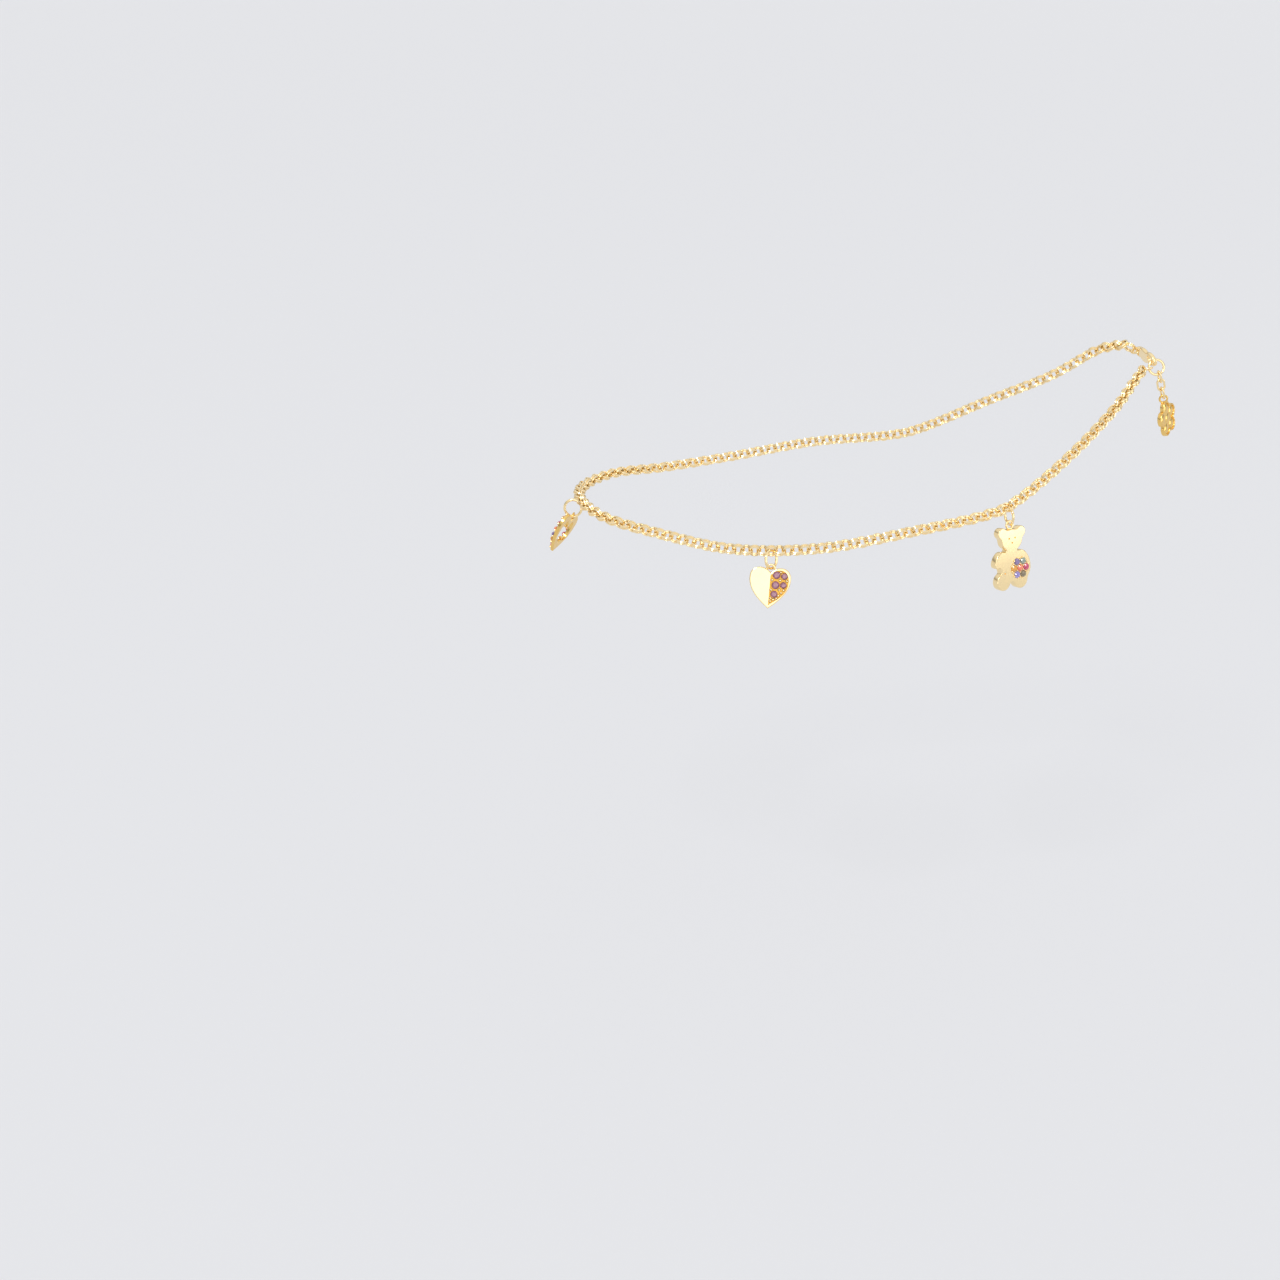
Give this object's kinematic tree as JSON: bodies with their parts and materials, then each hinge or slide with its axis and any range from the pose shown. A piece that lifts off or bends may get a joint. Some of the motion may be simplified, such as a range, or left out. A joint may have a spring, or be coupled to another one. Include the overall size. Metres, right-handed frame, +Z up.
{
  "type": "charm anklet",
  "caption": "Fine double-link chain anklet in its worn form, with a heart, a teddy bear and an open heart on jump rings and a flower on a short tail.",
  "frame": {"origin": "middle of the ankle opening that the chain goes round", "axes": "+Z up the leg, +X towards the heel, -X towards the toes, -Y the side that the heart and the bear hang on"},
  "size_m": [0.1141, 0.0587, 0.0347],
  "materials": {
    "polished_gold": "polished gold plate",
    "chain_gold": "polished gold plate",
    "heart_stones": "faceted mauve and pink stones",
    "front_stones": "faceted orange and ruby stones",
    "stone_blush": "faceted",
    "stone_peach": "faceted",
    "stone_sage": "faceted",
    "stone_violet": "faceted",
    "stone_amber": "faceted",
    "stone_lavender": "faceted",
    "stone_olive": "faceted",
    "stone_ruby": "faceted"
  },
  "bodies": {
    "root": {"chain": "chain_gold", "jump_ring_front": "polished_gold", "charm_front": "polished_gold", "front_paving": "front_stones", "jump_ring_heart": "polished_gold", "charm_heart": "polished_gold", "heart_paving": "heart_stones", "jump_ring_bear": "polished_gold", "charm_bear": "polished_gold", "bear_flower_1": "stone_peach", "bear_flower_2": "stone_sage", "bear_flower_3": "stone_violet", "bear_flower_4": "stone_amber", "bear_flower_5": "stone_lavender", "bear_flower_6": "stone_olive", "bear_flower_7": "stone_ruby", "last_link": "chain_gold", "end_ring": "polished_gold", "clasp": "polished_gold", "clasp_ring": "polished_gold", "tail_link_1": "polished_gold", "tail_link_2": "polished_gold", "tail_link_3": "polished_gold", "charm_flower": "polished_gold", "flower_stone": "stone_blush"}
  },
  "joints": []
}
